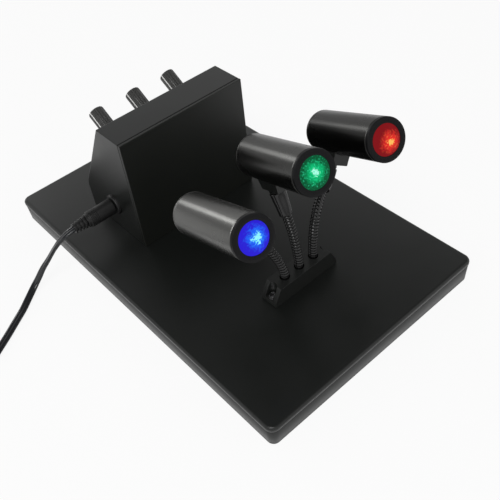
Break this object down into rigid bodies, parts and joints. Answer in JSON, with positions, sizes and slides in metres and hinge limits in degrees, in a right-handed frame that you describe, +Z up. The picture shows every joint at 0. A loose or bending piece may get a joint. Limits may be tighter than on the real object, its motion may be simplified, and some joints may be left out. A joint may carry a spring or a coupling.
{
  "type": "ray box",
  "caption": "Optics ray box: flat hollow base, sloping console with fluted dimmer knobs, and coloured spot lamps on ribbed goosenecks from a screwed-down bracket, with a coiled power lead.",
  "frame": {"origin": "centre of the base on the table, under the rubber feet", "axes": "+Y from the lamps' end towards the console, +Z up, +X to the right when the lamps are seen from behind the console's flat front"},
  "size_m": [0.3553, 0.2917, 0.1357],
  "materials": {
    "moulding": "satin black moulding",
    "panel": "satin black sheet",
    "steel": "plated",
    "feet": "matt",
    "board": "coated laminate",
    "components": "moulded cases",
    "wires": "sleeved wire",
    "controls": "plated",
    "cord": "smooth black sheath",
    "adapter": "fine texture",
    "gooseneck": "ribbed sheath",
    "lamp_lead": "smooth sheath",
    "lamp_body": "black anodised, satin",
    "front_ring": "black anodised, matt",
    "blue_lens": "lit from behind",
    "green_lens": "lit from behind",
    "red_lens": "lit from behind",
    "emitter": "white board and clear dome",
    "heat_sink": "turned"
  },
  "bodies": {
    "ray_box": {"base_shell": "moulding", "bottom_cover": "panel", "cover_screws": "steel", "rubber_feet": "feet", "console_shell": "moulding", "front_cover": "panel", "console_screws": "steel", "circuit_board": "board", "board_parts": "components", "board_screws": "steel", "internal_wiring": "wires", "dc_jack": "cord", "jack_nut": "steel", "potentiometers": "controls", "pot_nuts": "steel", "lamp_bracket": "moulding", "bracket_screws": "steel", "dc_plug": "cord", "cord_lead": "cord", "cord_coil": "cord", "cord_tail": "cord", "cord_tie": "cord", "mains_adapter": "adapter", "adapter_pins": "steel"},
    "knob_1_turn": {"knob_1": "moulding", "knob_shaft_1": "steel"},
    "knob_2_turn": {"knob_2": "moulding", "knob_shaft_2": "steel"},
    "knob_3_turn": {"knob_3": "moulding", "knob_shaft_3": "steel"},
    "blue_gooseneck": {"blue_neck": "gooseneck", "blue_lead": "lamp_lead"},
    "blue_lamp": {"blue_clip": "moulding", "blue_clip_screw": "steel", "blue_tube": "lamp_body", "blue_bezel": "front_ring", "blue_lens": "blue_lens", "blue_led": "emitter", "blue_heat_sink": "heat_sink", "blue_rear_cap": "lamp_body"},
    "green_gooseneck": {"green_neck": "gooseneck", "green_lead": "lamp_lead"},
    "green_lamp": {"green_clip": "moulding", "green_clip_screw": "steel", "green_tube": "lamp_body", "green_bezel": "front_ring", "green_lens": "green_lens", "green_led": "emitter", "green_heat_sink": "heat_sink", "green_rear_cap": "lamp_body"},
    "red_gooseneck": {"red_neck": "gooseneck", "red_lead": "lamp_lead"},
    "red_lamp": {"red_clip": "moulding", "red_clip_screw": "steel", "red_tube": "lamp_body", "red_bezel": "front_ring", "red_lens": "red_lens", "red_led": "emitter", "red_heat_sink": "heat_sink", "red_rear_cap": "lamp_body"}
  },
  "joints": [
    {"name": "knob_1_spin", "type": "hinge", "parent": "ray_box", "child": "knob_1_turn", "pos_m": [-0.0337, 0.06703, 0.08153], "axis": [0, 0.8526, 0.5225], "range_deg": [-150, 150]},
    {"name": "knob_2_spin", "type": "hinge", "parent": "ray_box", "child": "knob_2_turn", "pos_m": [-0.0035, 0.06703, 0.08153], "axis": [0, 0.8526, 0.5225], "range_deg": [-150, 150]},
    {"name": "knob_3_spin", "type": "hinge", "parent": "ray_box", "child": "knob_3_turn", "pos_m": [0.0267, 0.06703, 0.08153], "axis": [0, 0.8526, 0.5225], "range_deg": [-150, 150]},
    {"name": "blue_lean", "type": "hinge", "parent": "ray_box", "child": "blue_gooseneck", "pos_m": [-0.0133, -0.071, 0.05], "axis": [1, 0, 0], "range_deg": [-25, 30], "deforming": ["blue_neck", "blue_lead"]},
    {"name": "blue_swivel", "type": "hinge", "parent": "blue_gooseneck", "child": "blue_lamp", "pos_m": [-0.03279, -0.05358, 0.07633], "axis": [-0.7091, 0.3121, 0.6323], "range_deg": [-30, 8]},
    {"name": "green_lean", "type": "hinge", "parent": "ray_box", "child": "green_gooseneck", "pos_m": [-0.0008, -0.07, 0.054], "axis": [1, 0, 0], "range_deg": [-25, 30], "deforming": ["green_neck", "green_lead"]},
    {"name": "green_swivel", "type": "hinge", "parent": "green_gooseneck", "child": "green_lamp", "pos_m": [0.00206, -0.05369, 0.08198], "axis": [-0.0264, 0.3902, 0.9204], "range_deg": [-10, 10]},
    {"name": "red_lean", "type": "hinge", "parent": "ray_box", "child": "red_gooseneck", "pos_m": [0.0117, -0.07, 0.056], "axis": [1, 0, 0], "range_deg": [-25, 30], "deforming": ["red_neck", "red_lead"]},
    {"name": "red_swivel", "type": "hinge", "parent": "red_gooseneck", "child": "red_lamp", "pos_m": [0.04501, -0.05527, 0.07433], "axis": [0.5003, 0.2936, 0.8146], "range_deg": [-8, 30]}
  ]
}
